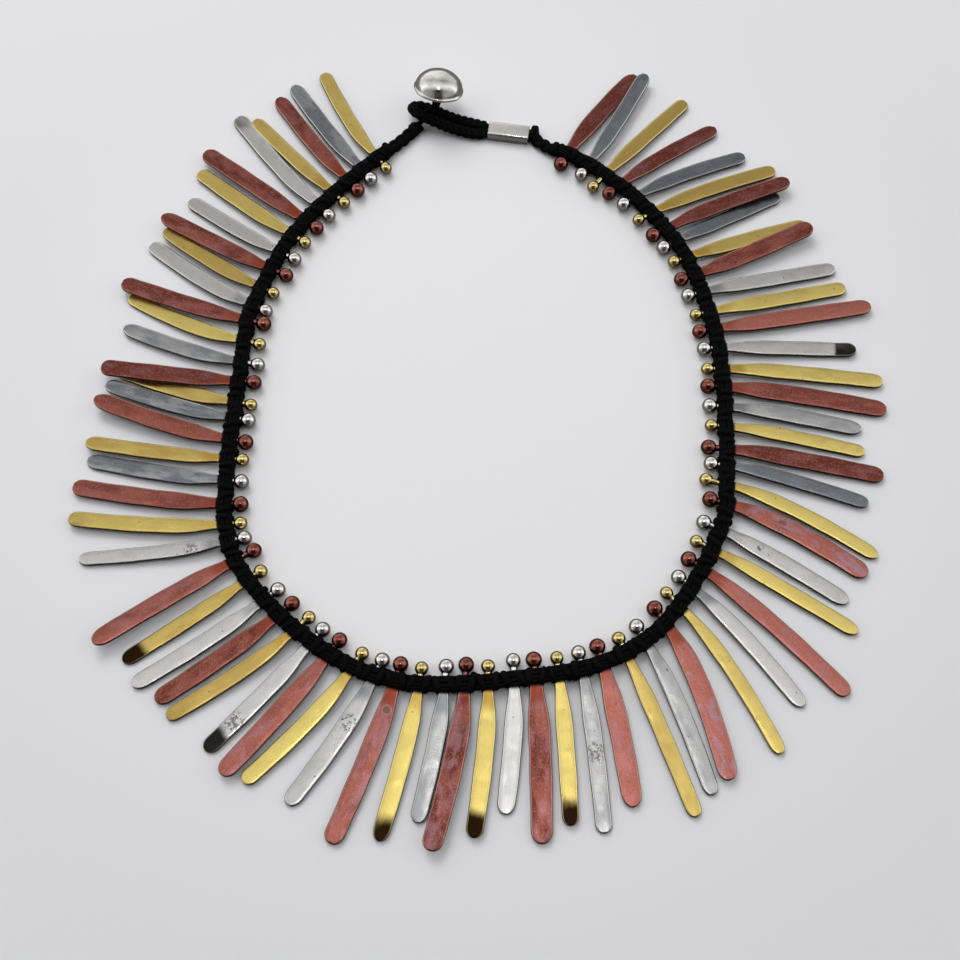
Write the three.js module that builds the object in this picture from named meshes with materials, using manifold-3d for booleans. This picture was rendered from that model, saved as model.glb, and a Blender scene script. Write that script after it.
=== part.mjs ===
// Bib necklace: a knotted black braid carries a fringe of ball-headed sticks in brass, silver and copper,
// and closes with a loop over a domed button. It lies flat, as laid on a table. Millimetres, +Z up.
import * as THREE from "three";
import { mergeVertices } from "three/addons/utils/BufferGeometryUtils.js";
import Module from "manifold-3d";

const wasm = await Module();
wasm.setup();

// Fit between neighbouring pieces
const clearance = 0.3;

// The braid's centreline in plan, chosen by hand, from under the button round to the cuff
const braidRoute = [
  [-17, 105.5], [-21, 101], [-27.5, 95], [-39.5, 83], [-50, 70], [-57, 55], [-60.5, 44.5], [-61, 38],
  [-62, 21.5], [-63, 4], [-62.5, -12], [-59, -22.5], [-48.5, -35], [-39.5, -42.5], [-30.5, -48],
  [-20, -51.5], [-8.5, -52.5], [13.5, -50.5], [25, -48.5], [35, -44.5], [41.5, -40], [47.5, -33.5],
  [56, -20], [60.5, -9], [61, -3.5], [62, 13], [62, 30], [61, 41], [55, 62.5], [49.5, 72], [42.5, 81],
  [34.5, 88.5], [25.5, 95], [19, 98], [15, 101],
];

// The braid
const braidWidth = 4.3;
const braidHeight = 3.9;
const waistWidth = 3.7;
const waistHeight = 3.3;
const tailHeight = 2.7;
const tailKnot = { pitch: 4, width: 3.5, waist: 2.9 };
const buttonTail = 15.3;
const cuffTail = 12.1;
const neckHeight = braidHeight / 2 + 0.1;

// The sticks: a ball head and a wire neck, hammered out into a blade
const stickReach = 36;
const bladeThickness = 0.8;
const neckRadius = 0.55;
const ballSides = 10;
const ballRings = 4;
const neckLean = 0.5;
const bladeLeaving = 0.35;
const bladeDescent = 0.5;
const metals = [
  { name: "brass", ballRadius: 1.65, bladeWidth: 4.3 },
  { name: "silver", ballRadius: 1.85, bladeWidth: 4.5 },
  { name: "copper", ballRadius: 1.95, bladeWidth: 5 },
];

// Outline of a blade from root to tip: place along it, width and thickness as shares of the full ones
const bladeSections = [
  { at: 0.04, width: 0.52, thickness: 1.3 },
  { at: 0.27, width: 0.97, thickness: 1 },
  { at: 0.62, width: 1, thickness: 1 },
  { at: 0.93, width: 0.84, thickness: 1 },
  { at: 1, width: 0.42, thickness: 1 },
];

// Every stick in order from the button to the cuff: along is how far it sits past its even place; swing is
// its turn in plan from square to the braid, in degrees; reach and breadth are shares of stickReach and of
// the metal's blade width; level counts the blades that its tip is stacked above the table; gap is how far
// its ball stands off the braid
const fringeColumns = ["along", "swing", "reach", "breadth", "level", "gap"];
const fringe = [
  [0.5, -15, 0.92, 0.95, 0.5, 0.5], [0.5, -9, 0.98, 1, 0.3, 0], [0, -9, 0.97, 0.9, 0.5, 0],
  [0, -5, 0.94, 0.95, 0.4, 0.5], [0, -10, 1.07, 1, 0.2, 0], [0, 1, 0.99, 1, 2, 0],
  [0, -6, 0.94, 1.05, 0.4, 0.5], [0.5, -8, 0.86, 0.95, 0.2, 0.5], [0.5, -5, 0.94, 0.95, 2.6, 0.5],
  [1, -12, 0.9, 1, 1.2, 0], [1, -16, 0.96, 1, 0, 0], [0, -8, 0.98, 0.95, 2, 0.5],
  [0.5, -20, 0.96, 1, 0, 0.5], [1, -15, 0.92, 0.95, 0.6, 0.5], [1, -2, 0.98, 0.95, 3, 0],
  [1.3, -14, 0.9, 1, 0, 0.3], [0.1, -12, 0.96, 0.95, 1.4, 0], [0.5, -14, 1.02, 0.95, 2.6, 0],
  [0.2, -6, 1.01, 0.95, 1.4, 0], [0.4, -9, 1, 0.95, 0.1, 0], [1, -10, 1.07, 0.95, 0.8, 0],
  [0.9, -13, 1.08, 1, 1.2, 0], [-0.2, -10, 1.02, 0.85, 0.2, 0], [-0.4, 5, 1.07, 0.95, 2.6, 1],
  [0, -4, 0.97, 0.95, 0, 0], [1, -9, 1.02, 0.95, 0.2, 0], [0.5, -9, 0.97, 0.95, 0.4, 0],
  [0.5, -15, 1, 0.95, 0.2, 0.5], [0, -7, 0.97, 0.95, 0.1, 0], [-0.5, -7, 1.03, 1, 1.4, 0],
  [0.5, -18, 1.01, 1, 0.4, 0.1], [0.5, -15, 0.99, 1, 0.1, 0], [0, -9, 1.11, 1, 0.4, 0],
  [0, -9, 1.03, 1, 0.3, 0], [0.4, -11, 0.9, 0.95, 0.1, 0.4], [-0.4, -15, 1.09, 1, 2.1, 0.5],
  [-0.5, -11, 1, 1, 0.8, 0], [0, -11, 0.87, 1, 0.1, 0.5], [-0.5, -6, 1.07, 1.05, 0.5, 0],
  [-0.5, -5, 0.98, 0.95, 0.6, 0], [-0.5, -8, 1.06, 0.9, 0.1, 0], [-1, -10, 0.95, 1, 0.5, 0],
  [-0.5, -6, 1.14, 0.9, 0.3, 0], [-0.5, -15, 1.08, 0.9, 0.1, 0], [0.5, -27, 1.1, 1, 1, 0.2],
  [0.5, -21, 1.16, 0.85, 0.3, 0.5], [0.5, -16, 1.06, 0.9, 0.1, 0], [0.5, -13, 1.25, 0.9, 0.4, 0],
  [0.5, -5, 1.1, 0.9, 0.3, 0.5], [0.5, -9, 0.97, 0.95, 0.1, 0.5], [2, -23, 1.05, 1, 0.5, 0.2],
  [1.5, -23, 1.12, 0.9, 0.3, 1.5], [1, -12, 1, 0.85, 0.6, 0], [0, -7, 1.1, 0.95, 0.5, 0.5],
  [0.5, -9, 0.98, 0.9, 0.3, 0], [0.5, -9, 0.97, 0.95, 0.4, 0], [0.5, -9, 1.16, 1, 0.5, 0],
  [0, -7, 1.15, 1, 0.6, 0], [0.5, -5, 0.99, 0.95, 0.3, 0], [0.5, -1, 1.17, 0.95, 1, 0],
  [0, -1, 1.04, 1, 0.5, 0], [0.5, -3, 1.02, 0.95, 0.4, 0], [0.5, 6, 0.97, 1, 2.6, 0],
  [0.5, -5, 0.97, 1, 0.2, 0], [0.5, -4, 0.91, 0.95, 0.2, 0], [-0.5, -11, 1.03, 0.9, 2.4, 0],
  [0, -15, 1.04, 1, 0.5, 0.5], [1, -19, 0.94, 0.95, 0.5, 0], [1, -13, 0.93, 0.9, 0.5, 0],
  [0.5, -4, 0.95, 1, 0.4, 1.5], [0.5, 6, 0.94, 0.95, 2.2, 0], [1.5, -11, 0.94, 1, 0, 0],
];

// Sticks fused to the braid's back ends on each side; the others between them are solids of their own
const fusedPerSide = 12;

// The button, leaning back, and the cord through its shank
const buttonRadius = 6.9;
const buttonDomeHeight = 5.6;
const buttonRim = 0.9;
const buttonTilt = 25;
const buttonTurn = -20;
const buttonCentre = new THREE.Vector3(-11.4, 111.6, 8.8);
const buttonSides = 20;
const linkRadius = 1.65;
const shankWireRadius = 0.45;
const eyeletCordRadius = 0.85;
const neckCordRadius = 0.75;

// The cord from the braid's end up to the eyelet, by points chosen by hand
const neckCordRoute = [
  [-17.6, 104.8, 1.35], [-15.9, 107.1, 1.9], [-14.7, 108.4, 3.5], [-13.4, 108.8, 4.9],
];

// The closing loop from the cuff's mouth round the button's neck and back, by points chosen by hand
const loopCordRadius = 1.4;
const loopRoute = [
  [3.6, 104.2, 1.45], [0.4, 105.3, 1.5], [-7, 107.6, 1.5], [-13.6, 110.8, 1.5], [-16.9, 111.5, 1.9],
  [-18.5, 110.1, 3.3], [-18, 107.9, 4.6], [-15.6, 106.1, 4.7], [-8, 104, 2.3], [-1, 102.6, 1.5],
  [1.6, 102.9, 1.45], [3.4, 102.8, 1.45],
];

// The cuff that crimps the loop to the braid's end
const cuffLength = 11.2;
const cuffWidth = 4.8;
const cuffHeight = 2.9;
const cuffWall = 0.4;
const cuffCorner = 0.9;
const cuffInnerCorner = 0.3;
const cuffTurn = -8;
const cuffCentre = new THREE.Vector3(7.9, 103, cuffHeight / 2);
const tongueDepth = 4;
const mouthStart = 2.3;
const mouthTaper = 0.5;

const paint = (color, roughness, metalness) => new THREE.MeshStandardMaterial({ color, roughness, metalness });
const materials = {
  brass: paint(0xc9a93f, 0.35, 1),
  silver: paint(0xb4b6b8, 0.3, 1),
  copper: paint(0xa8523f, 0.4, 1),
  cord: paint(0x0c0d0d, 0.9, 0),
  polishedSilver: paint(0xd5d2c8, 0.15, 1),
};

const radians = THREE.MathUtils.degToRad;
const upward = new THREE.Vector3(0, 0, 1);
const pointsFrom = (route) => route.map((point) => new THREE.Vector3(...point));

// A closed solid through rings of points that run counterclockwise about the way the loft travels
function loft(rings) {
  const sides = rings[0].length;
  const last = (rings.length - 1) * sides;
  const faces = [];
  for (let ring = 0; ring < rings.length - 1; ring++) {
    for (let side = 0; side < sides; side++) {
      const here = ring * sides + side;
      const next = ring * sides + ((side + 1) % sides);
      faces.push(here, next, next + sides, here, next + sides, here + sides);
    }
  }
  for (let side = 1; side < sides - 1; side++) {
    faces.push(0, side + 1, side, last, last + side, last + side + 1);
  }
  return new THREE.BufferGeometry().setFromPoints(rings.flat()).setIndex(faces);
}

// A three.js geometry as a solid for booleans, and back
function solidFrom(geometry) {
  const bare = geometry.clone();
  bare.deleteAttribute("normal");
  bare.deleteAttribute("uv");
  const merged = mergeVertices(bare, 1e-4);
  return new wasm.Manifold(new wasm.Mesh({
    numProp: 3,
    vertProperties: new Float32Array(merged.attributes.position.array),
    triVerts: new Uint32Array(merged.index.array),
  }));
}

function geometryFrom(solid) {
  const mesh = solid.getMesh();
  const position = new THREE.BufferAttribute(new Float32Array(mesh.vertProperties), mesh.numProp);
  const geometry = new THREE.BufferGeometry().setAttribute("position", position);
  geometry.setIndex(new THREE.BufferAttribute(new Uint32Array(mesh.triVerts), 1));
  geometry.computeVertexNormals();
  return geometry;
}

const union = (solids) => solids.reduce((all, one) => all.add(one));

// A round or oval ring of points about a centre, spread along two directions
function ringAt(centre, first, second, firstRadius, secondRadius, sides) {
  const flats = 1 / Math.cos(Math.PI / sides);
  return Array.from({ length: sides }, (_, side) => {
    const angle = ((side + 0.5) * 2 * Math.PI) / sides;
    return centre.clone()
      .addScaledVector(first, Math.cos(angle) * firstRadius * flats)
      .addScaledVector(second, Math.sin(angle) * secondRadius * flats);
  });
}

// A tube along a curve whose radius may change: radiusAt takes the share of the way along
function tube(curve, radiusAt, steps, sides) {
  const rings = [];
  for (let step = 0; step <= steps; step++) {
    const share = step / steps;
    const tangent = curve.getTangentAt(share);
    const across = new THREE.Vector3().crossVectors(upward, tangent).normalize();
    const over = new THREE.Vector3().crossVectors(tangent, across);
    const radius = radiusAt(share);
    rings.push(ringAt(curve.getPointAt(share), across, over, radius, radius, sides));
  }
  return rings;
}

// The two end rings of a straight rod
function rod(from, to, radius, sides) {
  return tube(new THREE.LineCurve3(from, to), () => radius, 1, sides);
}

// The braid's line and the place of each stick on it
const route = new THREE.CatmullRomCurve3(braidRoute.map(([x, y]) => new THREE.Vector3(x, y, 0)));
route.arcLengthDivisions = 2000;
const routeLength = route.getLength();
const pitch = (routeLength - buttonTail - cuffTail) / (fringe.length - 1);

function placeOnRoute(distance) {
  const share = THREE.MathUtils.clamp(distance / routeLength, 0, 1);
  const point = route.getPointAt(share);
  const along = route.getTangentAt(share);
  const outward = new THREE.Vector3(along.y, -along.x, 0);
  return { point, outward, angle: Math.atan2(outward.y, outward.x) };
}

const sticks = fringe.map((row, index) => {
  const stick = Object.fromEntries(fringeColumns.map((column, place) => [column, row[place]]));
  const number = String(index + 1).padStart(2, "0");
  const metal = metals[index % metals.length];
  const fused = index < fusedPerSide || index >= fringe.length - fusedPerSide;
  const distance = buttonTail + index * pitch + stick.along;
  return { ...stick, metal, fused, distance, name: `${metal.name}_stick_${number}`, ...placeOnRoute(distance) };
});

// A point in a stick's own frame: origin under the braid's centre, +X square out of the braid
function polar(radius, degrees, height) {
  return new THREE.Vector3(radius * Math.cos(radians(degrees)), radius * Math.sin(radians(degrees)), height);
}

const bladeStart = braidWidth / 2 + 2 * clearance;
const stackStep = bladeThickness + clearance;

function bladeRings(stick) {
  const reach = stick.reach * stickReach;
  const lean = stick.swing * neckLean;
  const tipHeight = bladeThickness / 2 + stick.level * stackStep;
  const curve = new THREE.QuadraticBezierCurve3(
    polar(bladeStart, lean, neckHeight),
    polar(bladeStart + (reach - bladeStart) * bladeLeaving, lean, neckHeight + (tipHeight - neckHeight) * bladeDescent),
    polar(reach, stick.swing, tipHeight + 0.04),
  );
  return bladeSections.map(({ at, width, thickness }) => {
    const centre = curve.getPointAt(at);
    const tangent = curve.getTangentAt(at);
    const across = new THREE.Vector3().crossVectors(upward, tangent).normalize();
    const over = new THREE.Vector3().crossVectors(tangent, across);
    const halfWidth = (width * stick.breadth * stick.metal.bladeWidth) / 2;
    const halfThickness = (thickness * bladeThickness) / 2;
    const corner = (side, height) => centre.clone()
      .addScaledVector(across, side * halfWidth)
      .addScaledVector(over, height * halfThickness);
    return [corner(1, 1), corner(-1, 1), corner(-1, -1), corner(1, -1)];
  });
}

// A ball head on a square wire neck that passes through the braid and widens into the blade
function stickSolid(stick) {
  const { ballRadius } = stick.metal;
  const ballReach = braidWidth / 2 + ballRadius + stick.gap;
  const lean = stick.swing * neckLean;
  const ballCentre = polar(-ballReach, lean, neckHeight);
  const ball = new THREE.SphereGeometry(ballRadius, ballSides, ballRings).rotateX(Math.PI / 2);
  ball.translate(ballCentre.x, ballCentre.y, ballCentre.z);
  const neck = rod(ballCentre, polar(bladeStart, lean, neckHeight), neckRadius, 4);
  return union([solidFrom(ball), solidFrom(loft([...neck, ...bladeRings(stick)]))]);
}

// The hole that a stick's neck takes through the knots
function neckHole(stick) {
  const lean = stick.swing * neckLean;
  const inside = polar(-braidWidth, lean, neckHeight);
  const outside = polar(braidWidth, lean, neckHeight);
  return solidFrom(loft(rod(inside, outside, neckRadius + clearance, 4)));
}

function frameOf(stick) {
  return new THREE.Matrix4().makeRotationZ(stick.angle).setPosition(stick.point);
}

// The braid draws in at every stick, and once more a knot's length before the first and past the last
const waists = sticks.map(({ distance }) => distance);
waists.unshift(waists[0] - pitch);
waists.push(waists.at(-1) + pitch);

// One section of the braid across its line: knots swell between the sticks, and the tails at both ends
// are thinner
function braidSection(distance) {
  const outside = Math.max(sticks[0].distance - distance, distance - sticks.at(-1).distance);
  const inFringe = outside < pitch * 0.6;
  const next = waists.findIndex((waist) => waist > distance);
  const from = inFringe ? waists[next - 1] : sticks[0].distance;
  const knot = inFringe
    ? { pitch: waists[next] - from, width: braidWidth, waist: waistWidth }
    : tailKnot;
  const swell = (1 - Math.cos((2 * Math.PI * (distance - from)) / knot.pitch)) / 2;
  const width = THREE.MathUtils.lerp(knot.waist, knot.width, swell);
  const height = inFringe ? THREE.MathUtils.lerp(waistHeight, braidHeight, swell) : tailHeight;
  const { point, outward } = placeOnRoute(distance);
  point.z = (inFringe ? braidHeight : tailHeight) / 2;
  return ringAt(point, upward, outward, height / 2, width / 2, 8);
}

// The places of the braid's sections between two distances along it: one at every waist and every knot
function braidStations(from, to) {
  const tailStep = tailKnot.pitch / 2;
  const stations = waists.slice(1).flatMap((waist, index) => [(waists[index] + waist) / 2, waist]).slice(0, -1);
  for (let distance = stations[0] - tailStep; distance > 0; distance -= tailStep) {
    stations.unshift(distance);
  }
  for (let distance = stations.at(-1) + tailStep; distance < routeLength; distance += tailStep) {
    stations.push(distance);
  }
  const inner = stations.filter((distance) => distance > from + 0.5 && distance < to - 0.5);
  return [from, ...inner, to];
}

// Each half of the braid, with holes for its loose sticks and its back sticks fused on
function braidHalf(from, to, ownSticks, ends) {
  const knots = solidFrom(loft(braidStations(from, to).map(braidSection)));
  const fused = ownSticks.filter((stick) => stick.fused)
    .map((stick) => stickSolid(stick).transform(frameOf(stick).elements));
  const holes = ownSticks.filter((stick) => !stick.fused)
    .map((stick) => neckHole(stick).transform(frameOf(stick).elements));
  return union([knots.subtract(union(holes)), ...fused, ...ends]);
}

// The button's own axis, tilted back from upright, and the two rings that link below it
const buttonAxis = new THREE.Vector3(0, Math.sin(radians(buttonTilt)), Math.cos(radians(buttonTilt)))
  .applyAxisAngle(upward, radians(buttonTurn));
const buttonSide = new THREE.Vector3().crossVectors(buttonAxis, upward).normalize();
const buttonForward = new THREE.Vector3().crossVectors(buttonAxis, buttonSide);
const shankDrop = linkRadius - 0.1;
const eyeletCentre = buttonCentre.clone().addScaledVector(buttonAxis, -shankDrop - linkRadius);

// The cord that rises from the tail through the loop, and its eyelet that holds the button's shank
function buttonCord() {
  const under = buttonAxis.clone().add(buttonForward).normalize();
  const join = eyeletCentre.clone().addScaledVector(under, -linkRadius);
  const rise = new THREE.CatmullRomCurve3([...pointsFrom(neckCordRoute), join]);
  const eyelet = new THREE.TorusGeometry(linkRadius, eyeletCordRadius, 6, 12);
  const turn = new THREE.Matrix4().makeBasis(buttonAxis, buttonForward, buttonSide.clone().negate());
  eyelet.applyMatrix4(turn.setPosition(eyeletCentre));
  return [solidFrom(loft(tube(rise, () => neckCordRadius, 6, 6))), solidFrom(eyelet)];
}

// The wrapped knot where the braid leaves the cuff, and the tongue that the cuff holds
function cuffEnd() {
  const turn = new THREE.Matrix4().makeRotationZ(radians(cuffTurn)).setPosition(cuffCentre);
  const knot = new THREE.SphereGeometry(1, 8, 5).scale(1.3, 2.6, 1.45);
  knot.translate(cuffLength / 2 + clearance + 1.3, 0.7, 0);
  const tongue = cuffTongue(1);
  return [solidFrom(knot.applyMatrix4(turn)), solidFrom(tongue.applyMatrix4(turn))];
}

// The flat end of a cord inside the cuff, in the cuff's frame: towards +X or -X
function cuffTongue(side) {
  const gap = cuffWall + clearance;
  const length = tongueDepth + 2;
  const tongue = new THREE.BoxGeometry(length, cuffWidth - 2 * gap, cuffHeight - 2 * gap);
  return tongue.translate(side * (cuffLength / 2 - tongueDepth + length / 2), 0, 0);
}

function button() {
  const profile = [new THREE.Vector2(0, 0), new THREE.Vector2(buttonRadius - 0.7, 0),
    new THREE.Vector2(buttonRadius, buttonRim * 0.35), new THREE.Vector2(buttonRadius, buttonRim)];
  const domeSteps = 5;
  for (let step = 1; step < domeSteps; step++) {
    const angle = (step / domeSteps) * (Math.PI / 2);
    profile.push(new THREE.Vector2(
      (buttonRadius - 0.5) * Math.cos(angle), buttonRim + (buttonDomeHeight - buttonRim) * Math.sin(angle)));
  }
  profile.push(new THREE.Vector2(0, buttonDomeHeight));
  const dome = new THREE.LatheGeometry(profile, buttonSides).rotateX(Math.PI / 2);
  const shank = new THREE.TorusGeometry(linkRadius, shankWireRadius, 5, 12).rotateX(Math.PI / 2);
  shank.translate(0, 0, -shankDrop);
  return geometryFrom(union([solidFrom(dome), solidFrom(shank)]));
}

// The loop's cord, drawn in where both its ends enter the cuff on one flat tongue
function closingLoop() {
  const curve = new THREE.CatmullRomCurve3(pointsFrom(loopRoute));
  const length = curve.getLength();
  const mouthRadius = cuffHeight / 2 - cuffWall - clearance;
  const radiusAt = (share) => {
    const fromEnd = Math.min(share, 1 - share) * length;
    return THREE.MathUtils.clamp(mouthRadius + (fromEnd - mouthStart) * mouthTaper, mouthRadius, loopCordRadius);
  };
  const turn = new THREE.Matrix4().makeRotationZ(radians(cuffTurn)).setPosition(cuffCentre);
  const tongue = cuffTongue(-1).applyMatrix4(turn);
  return geometryFrom(union([solidFrom(loft(tube(curve, radiusAt, 24, 8))), solidFrom(tongue)]));
}

// A flattened tube with rounded long edges
function cuff() {
  const outline = (width, height, corner) => {
    const shape = new THREE.Shape();
    const x = width / 2 - corner;
    const y = height / 2 - corner;
    shape.absarc(x, y, corner, 0, Math.PI / 2);
    shape.absarc(-x, y, corner, Math.PI / 2, Math.PI);
    shape.absarc(-x, -y, corner, Math.PI, 1.5 * Math.PI);
    shape.absarc(x, -y, corner, 1.5 * Math.PI, 2 * Math.PI);
    return shape;
  };
  const shape = outline(cuffWidth, cuffHeight, cuffCorner);
  shape.holes.push(outline(cuffWidth - 2 * cuffWall, cuffHeight - 2 * cuffWall, cuffInnerCorner));
  const sleeve = new THREE.ExtrudeGeometry(shape, { depth: cuffLength, bevelEnabled: false, curveSegments: 2 });
  sleeve.translate(0, 0, -cuffLength / 2).rotateX(Math.PI / 2).rotateZ(Math.PI / 2);
  return sleeve;
}

function named(name, geometry, material) {
  const mesh = new THREE.Mesh(geometry, material);
  mesh.name = name;
  return mesh;
}

const necklace = new THREE.Group();

const middle = fringe.length / 2;
const split = (sticks[middle - 1].distance + sticks[middle].distance) / 2;
const leftBraid = braidHalf(0, split - clearance / 2, sticks.slice(0, middle), buttonCord());
const rightBraid = braidHalf(split + clearance / 2, routeLength, sticks.slice(middle), cuffEnd());
necklace.add(named("braid_left", geometryFrom(leftBraid), materials.cord));
necklace.add(named("braid_right", geometryFrom(rightBraid), materials.cord));

for (const stick of sticks.filter(({ fused }) => !fused)) {
  const mesh = named(stick.name, geometryFrom(stickSolid(stick)), materials[stick.metal.name]);
  mesh.position.copy(stick.point);
  mesh.rotation.z = stick.angle;
  necklace.add(mesh);
}

const buttonMesh = named("button", button(), materials.polishedSilver);
buttonMesh.position.copy(buttonCentre);
buttonMesh.setRotationFromMatrix(new THREE.Matrix4().makeBasis(buttonSide, buttonForward, buttonAxis));
necklace.add(buttonMesh);

necklace.add(named("closing_loop", closingLoop(), materials.cord));

const cuffMesh = named("cuff", cuff(), materials.polishedSilver);
cuffMesh.position.copy(cuffCentre);
cuffMesh.rotation.z = radians(cuffTurn);
necklace.add(cuffMesh);

// The origin is the middle of the footprint, on the table
const size = new THREE.Box3().setFromObject(necklace, true);
const middlePoint = size.getCenter(new THREE.Vector3());
necklace.position.set(-middlePoint.x, -middlePoint.y, 0);

export default necklace;
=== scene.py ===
import math
import bpy
import numpy as np
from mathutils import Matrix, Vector


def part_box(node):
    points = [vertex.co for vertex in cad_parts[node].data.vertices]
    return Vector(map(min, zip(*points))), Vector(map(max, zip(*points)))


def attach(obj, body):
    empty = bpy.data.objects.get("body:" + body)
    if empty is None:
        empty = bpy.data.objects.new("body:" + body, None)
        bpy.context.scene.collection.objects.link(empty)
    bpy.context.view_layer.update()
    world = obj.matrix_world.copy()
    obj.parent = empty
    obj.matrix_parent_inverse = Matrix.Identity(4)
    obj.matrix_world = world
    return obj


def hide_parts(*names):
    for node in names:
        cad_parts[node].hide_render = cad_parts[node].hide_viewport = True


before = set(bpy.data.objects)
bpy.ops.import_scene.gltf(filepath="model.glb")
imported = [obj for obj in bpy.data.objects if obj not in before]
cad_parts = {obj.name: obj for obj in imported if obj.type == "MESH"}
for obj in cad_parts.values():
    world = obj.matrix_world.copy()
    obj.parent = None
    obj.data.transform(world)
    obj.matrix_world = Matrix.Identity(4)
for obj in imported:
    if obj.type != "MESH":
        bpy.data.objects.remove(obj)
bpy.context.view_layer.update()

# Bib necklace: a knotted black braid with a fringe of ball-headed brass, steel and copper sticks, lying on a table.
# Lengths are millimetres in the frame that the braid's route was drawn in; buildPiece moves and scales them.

up = np.array([0.0, 0.0, 1.0])
cuffPlace = np.array([7.9, 103.0, 1.45])
cuffLow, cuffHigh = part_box("cuff")
shift = (np.array(cuffLow) + np.array(cuffHigh)) / 2 * 1000 - cuffPlace   # from the drawn frame to the row's
shift[2] = 0

view = {"distance": 350, "elevation": 68, "lens": 52.5, "sensor": 36}

cameraData = bpy.data.cameras.new("camera")
cameraData.lens = view["lens"]
cameraData.sensor_width = view["sensor"]
cameraData.clip_start, cameraData.clip_end = 0.01, 20
camera = bpy.data.objects.new("camera", cameraData)
bpy.context.scene.collection.objects.link(camera)
tilt = math.radians(view["elevation"])
camera.location = (
    shift[0] / 1000,
    (shift[1] - view["distance"] * math.cos(tilt)) / 1000,
    view["distance"] * math.sin(tilt) / 1000,
)
camera.rotation_euler = (math.radians(90 - view["elevation"]), 0, 0)
bpy.context.scene.camera = camera
print("camera set")


def unit(vectors):
    return vectors / np.maximum(np.linalg.norm(vectors, axis=-1, keepdims=True), 1e-12)


def smoothStep(low, high, value):   # 0 at low, 1 at high, eased between; low may be the greater
    share = np.clip((value - low) / (high - low), 0, 1)
    return share * share * (3 - 2 * share)


def squared(wave, power):   # a sine or cosine whose crests are flattened: its sign times |wave| to a power
    return np.sign(wave) * np.abs(wave) ** power


def smoothRoute(points, perSpan=60):
    # Centripetal Catmull-Rom: one cubic per span, whose end slopes weigh the neighbouring chords by the square
    # roots of their lengths; the ends are carried on straight. Returns the length run at each sample, and the samples
    points = np.array(points, float)
    if points.shape[1] == 2:
        points = np.column_stack([points, np.zeros(len(points))])
    padded = np.vstack([2 * points[0] - points[1], points, 2 * points[-1] - points[-2]])
    before, start, end, after = padded[:-3], padded[1:-2], padded[2:-1], padded[3:]

    def root(a, b):
        return np.sqrt(np.linalg.norm(b - a, axis=1))[:, None]

    first, middle, last = root(before, start), root(start, end), root(end, after)
    leave = middle * ((start - before) / first - (end - before) / (first + middle) + (end - start) / middle)
    arrive = middle * ((end - start) / middle - (after - start) / (middle + last) + (after - end) / last)
    t = np.linspace(0, 1, perSpan, endpoint=False)[None, :, None]
    start, end, leave, arrive = (a[:, None] for a in (start, end, leave, arrive))
    line = start + leave * t + (3 * (end - start) - 2 * leave - arrive) * t ** 2
    line = line + (2 * (start - end) + leave + arrive) * t ** 3
    line = np.vstack([line.reshape(-1, 3), points[-1:]])
    run = np.concatenate([[0], np.cumsum(np.linalg.norm(np.diff(line, axis=0), axis=1))])
    return run, line


def placesOn(route, distances):
    # Point, direction of travel, level direction to its right, and the direction square to both, at each distance
    run, line = route

    def at(distance):
        return np.stack([np.interp(distance, run, line[:, k]) for k in range(3)], -1)

    travel = unit(at(distances + 0.05) - at(distances - 0.05))
    right = unit(np.cross(travel, up))
    return at(distances), travel, right, np.cross(right, travel)


def turns(count):   # evenly round a circle, in radians
    return 2 * np.pi * np.arange(count) / count


def tubeAround(centres, guide, radii, columns, closed=False):
    # Each ring: centre + radius * (cos turn * side + sin turn * guide), square to the direction of travel
    if closed:
        travel = unit(np.roll(centres, -1, axis=-2) - np.roll(centres, 1, axis=-2))
    else:
        travel = unit(np.gradient(centres, axis=-2))
    guide = unit(guide - (guide * travel).sum(-1, keepdims=True) * travel)
    side = np.cross(guide, travel)
    turn = turns(columns)
    ring = np.cos(turn)[:, None] * side[..., None, :] + np.sin(turn)[:, None] * guide[..., None, :]
    return centres[..., None, :] + np.broadcast_to(radii, centres.shape[:-1])[..., None, None] * ring


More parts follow.
